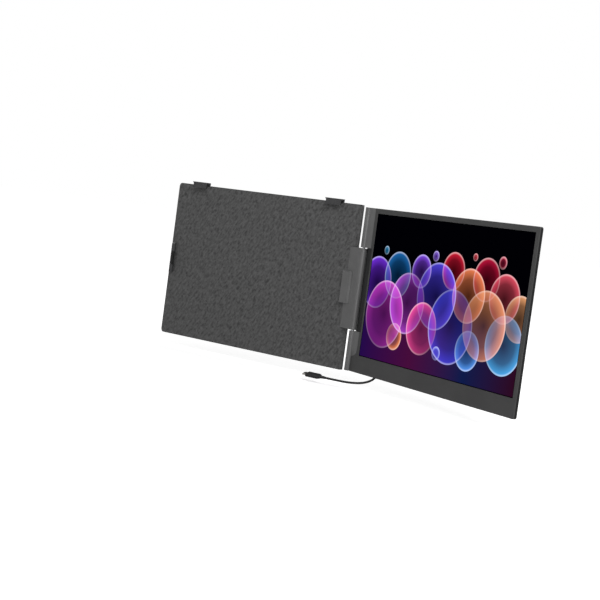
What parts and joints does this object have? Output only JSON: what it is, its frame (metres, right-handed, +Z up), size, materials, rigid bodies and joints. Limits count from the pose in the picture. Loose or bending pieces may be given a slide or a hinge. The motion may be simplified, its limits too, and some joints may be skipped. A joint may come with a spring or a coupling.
{
  "type": "laptop screen extender",
  "caption": "Clip-on bracket plate for the back of a laptop lid, with a flat display that swings out beside it on torque hinges, sprung lid clips, a fold-out kickstand and a short lead.",
  "frame": {"origin": "centre of the plate's front face, which lies on the back of the laptop's lid", "axes": "-Y out of that face to the user, +Z up the lid, +X to the hinge and the screen"},
  "size_m": [0.7322, 0.1416, 0.2449],
  "materials": {
    "bracket_plastic": "moulded, fine texture",
    "lining": "mottled suede-like lining",
    "hinge_alloy": "satin dark grey paint",
    "clip_plastic": "moulded, satin",
    "rubber": "matte",
    "screw_steel": "blackened",
    "hinge_steel": "turned and pressed",
    "stand_aluminium": "anodised dark grey",
    "bezel_plastic": "moulded, satin",
    "display": "glossy display cover",
    "panel_stack": "black module",
    "shell_plastic": "moulded, satin black",
    "circuit_board": "solder resist",
    "port_steel": "nickel plated",
    "lead_jacket": "matte thermoplastic jacket"
  },
  "bodies": {
    "bracket": {"back_plate": "bracket_plastic", "front_lining": "lining", "rear_cover": "bracket_plastic", "cover_screws": "screw_steel", "hinge_arm": "hinge_alloy", "arm_screws": "screw_steel", "upper_hinge_shaft": "hinge_steel", "lower_hinge_shaft": "hinge_steel", "upper_friction_washers": "hinge_steel", "lower_friction_washers": "hinge_steel", "upper_hinge_nut": "hinge_steel", "lower_hinge_nut": "hinge_steel", "right_clip": "hinge_alloy", "right_clip_pad": "rubber", "left_clip_springs": "hinge_steel", "top_left_clip_spring": "hinge_steel", "top_right_clip_spring": "hinge_steel"},
    "side_clip": {"left_clip": "clip_plastic", "left_clip_pad": "rubber"},
    "upper_left_clip": {"top_left_clip": "clip_plastic", "top_left_clip_pad": "rubber"},
    "upper_right_clip": {"top_right_clip": "clip_plastic", "top_right_clip_pad": "rubber"},
    "stand": {"kickstand": "stand_aluminium", "kickstand_pins": "hinge_steel", "kickstand_foot": "rubber"},
    "screen": {"screen_bezel": "bezel_plastic", "display_glass": "display", "lcd_panel": "panel_stack", "rear_shell": "shell_plastic", "shell_screws": "screw_steel", "upper_hinge_cover": "hinge_alloy", "lower_hinge_cover": "hinge_alloy", "upper_hinge_bracket": "hinge_steel", "lower_hinge_bracket": "hinge_steel", "hinge_screws": "screw_steel", "main_board": "circuit_board", "board_screws": "screw_steel", "usb_c_sockets": "port_steel", "hdmi_socket": "port_steel", "key_switches": "panel_stack", "left_speaker": "panel_stack", "right_speaker": "panel_stack", "screen_plug": "lead_jacket", "screen_plug_tip": "port_steel", "screen_plug_relief": "lead_jacket", "lead_cord": "lead_jacket", "laptop_plug_relief": "lead_jacket", "laptop_plug": "lead_jacket", "laptop_plug_tip": "port_steel"},
    "power_button": {"power_key": "shell_plastic"},
    "menu_button": {"menu_key": "shell_plastic"}
  },
  "joints": [
    {"name": "screen_swing", "type": "hinge", "parent": "bracket", "child": "screen", "pos_m": [0.1969, -0.0076, 0], "axis": [0, 0, 1], "range_deg": [-160.1, 21.9]},
    {"name": "side_clip_slide", "type": "slide", "parent": "bracket", "child": "side_clip", "axis": [-1, 0, 0], "range_m": [0, 0.014], "stiffness_N_per_m": 250, "springref_m": -0.01, "deforming": ["left_clip_springs"]},
    {"name": "upper_left_clip_slide", "type": "slide", "parent": "bracket", "child": "upper_left_clip", "axis": [0, 0, 1], "range_m": [0, 0.012], "stiffness_N_per_m": 200, "springref_m": -0.01, "deforming": ["top_left_clip_spring"]},
    {"name": "upper_right_clip_slide", "type": "slide", "parent": "bracket", "child": "upper_right_clip", "axis": [0, 0, 1], "range_m": [0, 0.012], "stiffness_N_per_m": 200, "springref_m": -0.01, "deforming": ["top_right_clip_spring"]},
    {"name": "kickstand_fold", "type": "hinge", "parent": "bracket", "child": "stand", "pos_m": [0, 0.0054, -0.006], "axis": [1, 0, 0], "range_deg": [0, 72]},
    {"name": "power_key_press", "type": "slide", "parent": "screen", "child": "power_button", "axis": [0, 0, 1], "range_m": [0, 0.0005], "stiffness_N_per_m": 800, "springref_m": -0.001},
    {"name": "menu_key_press", "type": "slide", "parent": "screen", "child": "menu_button", "axis": [0, 0, 1], "range_m": [0, 0.0005], "stiffness_N_per_m": 800, "springref_m": -0.001}
  ]
}
